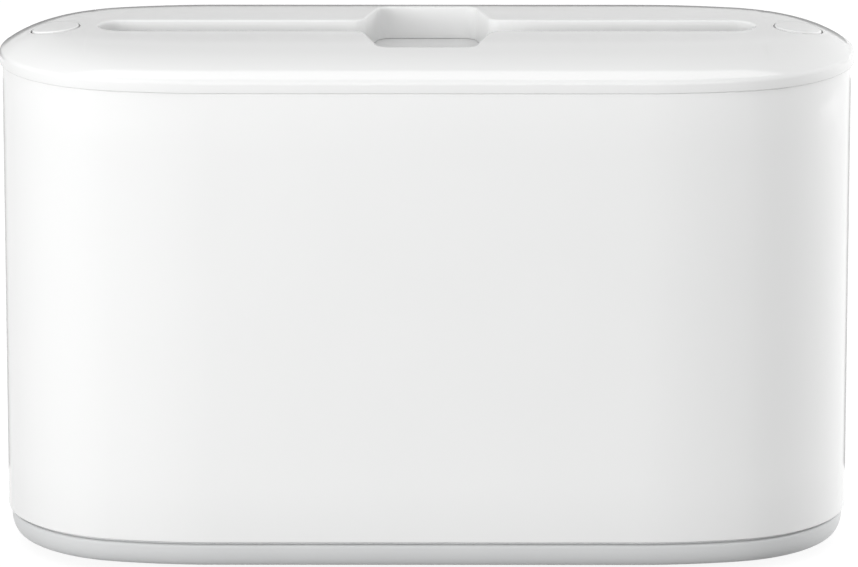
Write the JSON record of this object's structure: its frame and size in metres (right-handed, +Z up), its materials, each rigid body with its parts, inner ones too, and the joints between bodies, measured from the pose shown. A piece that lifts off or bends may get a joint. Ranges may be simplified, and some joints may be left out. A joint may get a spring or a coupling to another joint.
{
  "type": "countertop paper towel dispenser",
  "caption": "White countertop paper towel dispenser: tall rounded box on a grey base, domed lid with a long slot and finger recess, two push buttons, sprung towel platform.",
  "frame": {"origin": "on the counter, under the middle of the body", "axes": "+Z up; the long side lies along X; the front looks along -Y"},
  "size_m": [0.3218, 0.1158, 0.2005],
  "materials": {
    "body_plastic": "gloss",
    "base_plastic": "satin",
    "inner_plastic": "satin",
    "bush_plastic": "satin",
    "foot_rubber": "matt",
    "rod_steel": "bright",
    "spring_steel": "bright"
  },
  "bodies": {
    "housing": {"base_tray": "base_plastic", "rubber_feet": "foot_rubber", "outer_shell": "body_plastic", "end_guide_left": "inner_plastic", "end_guide_right": "inner_plastic", "guide_post_left": "rod_steel", "guide_post_right": "rod_steel", "lift_spring_left": "spring_steel", "lift_spring_right": "spring_steel", "catch_strip_left": "spring_steel", "catch_strip_right": "spring_steel"},
    "lid": {"lid": "body_plastic", "button_retainer_left": "inner_plastic", "button_retainer_right": "inner_plastic", "button_spring_left": "spring_steel", "button_spring_right": "spring_steel"},
    "platform": {"lift_platform": "inner_plastic", "platform_bush_left": "bush_plastic", "platform_bush_right": "bush_plastic"},
    "button_left": {"push_button_left": "body_plastic"},
    "button_right": {"push_button_right": "body_plastic"}
  },
  "joints": [
    {"name": "lid_lift", "type": "slide", "parent": "housing", "child": "lid", "axis": [0, 0, 1], "range_m": [0, 0.06], "deforming": ["catch_strip_left", "catch_strip_right"]},
    {"name": "platform_travel", "type": "slide", "parent": "housing", "child": "platform", "axis": [0, 0, 1], "range_m": [-0.125, 0], "stiffness_N_per_m": 80, "springref_m": 0.06, "deforming": ["lift_spring_left", "lift_spring_right"]},
    {"name": "button_left_press", "type": "slide", "parent": "lid", "child": "button_left", "axis": [0, 0, -1], "range_m": [0, 0.004], "stiffness_N_per_m": 400, "springref_m": -0.004, "deforming": ["button_spring_left", "catch_strip_left"]},
    {"name": "button_right_press", "type": "slide", "parent": "lid", "child": "button_right", "axis": [0, 0, -1], "range_m": [0, 0.004], "stiffness_N_per_m": 400, "springref_m": -0.004, "deforming": ["button_spring_right", "catch_strip_right"]}
  ]
}
